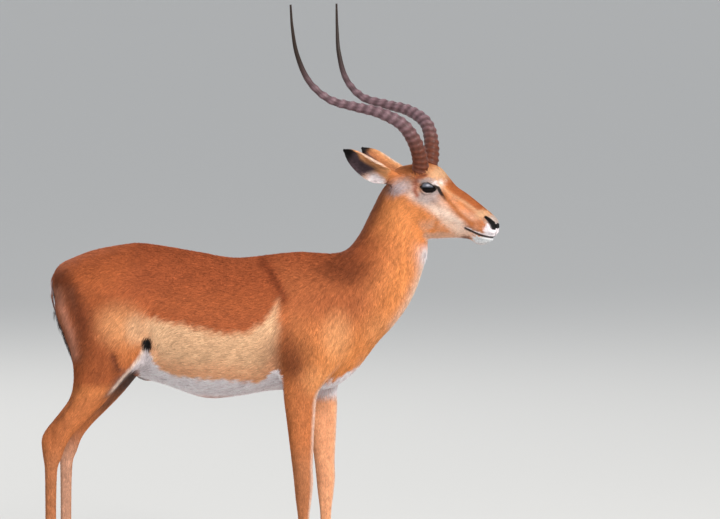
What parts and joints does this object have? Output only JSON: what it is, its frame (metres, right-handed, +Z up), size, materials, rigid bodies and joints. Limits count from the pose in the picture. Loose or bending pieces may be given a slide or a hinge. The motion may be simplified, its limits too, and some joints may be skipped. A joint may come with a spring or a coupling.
{
  "type": "impala antelope",
  "caption": "Life-size standing male impala as a still museum model: slim reddish body, white belly, ringed lyre-shaped horns, head turned slightly to its right.",
  "frame": {"origin": "on the floor under the middle of the whole model's bounding box, horns included", "axes": "+X towards the head, +Y towards the animal's left side, +Z up; the soles stand at Z = 0"},
  "size_m": [1.139, 0.3686, 1.4882],
  "materials": {
    "rufous_coat": "short glossy reddish hair with the species' tan, white and black markings",
    "fawn_coat": "short fawn hair of the lower legs, white-fringed on the tail",
    "horn": "ringed horn, semi-matt, smoother towards the tips",
    "hoof": "dark horn, semi-matt",
    "eye": "wet, glossy, dark brown"
  },
  "bodies": {
    "root": {"trunk": "rufous_coat", "neck": "rufous_coat", "head": "rufous_coat", "ear_right": "rufous_coat", "eye_right": "eye", "horn_right": "horn", "ear_left": "rufous_coat", "eye_left": "eye", "horn_left": "horn", "tail": "fawn_coat", "foreleg_right_forearm": "rufous_coat", "foreleg_right_cannon": "fawn_coat", "foreleg_right_pastern": "fawn_coat", "foreleg_right_claw_inner": "hoof", "foreleg_right_claw_outer": "hoof", "hindleg_right_thigh": "rufous_coat", "hindleg_right_gaskin": "rufous_coat", "hindleg_right_cannon": "fawn_coat", "hindleg_right_pastern": "fawn_coat", "hindleg_right_claw_inner": "hoof", "hindleg_right_claw_outer": "hoof", "foreleg_left_forearm": "rufous_coat", "foreleg_left_cannon": "fawn_coat", "foreleg_left_pastern": "fawn_coat", "foreleg_left_claw_inner": "hoof", "foreleg_left_claw_outer": "hoof", "hindleg_left_thigh": "rufous_coat", "hindleg_left_gaskin": "rufous_coat", "hindleg_left_cannon": "fawn_coat", "hindleg_left_pastern": "fawn_coat", "hindleg_left_claw_inner": "hoof", "hindleg_left_claw_outer": "hoof"}
  },
  "joints": []
}
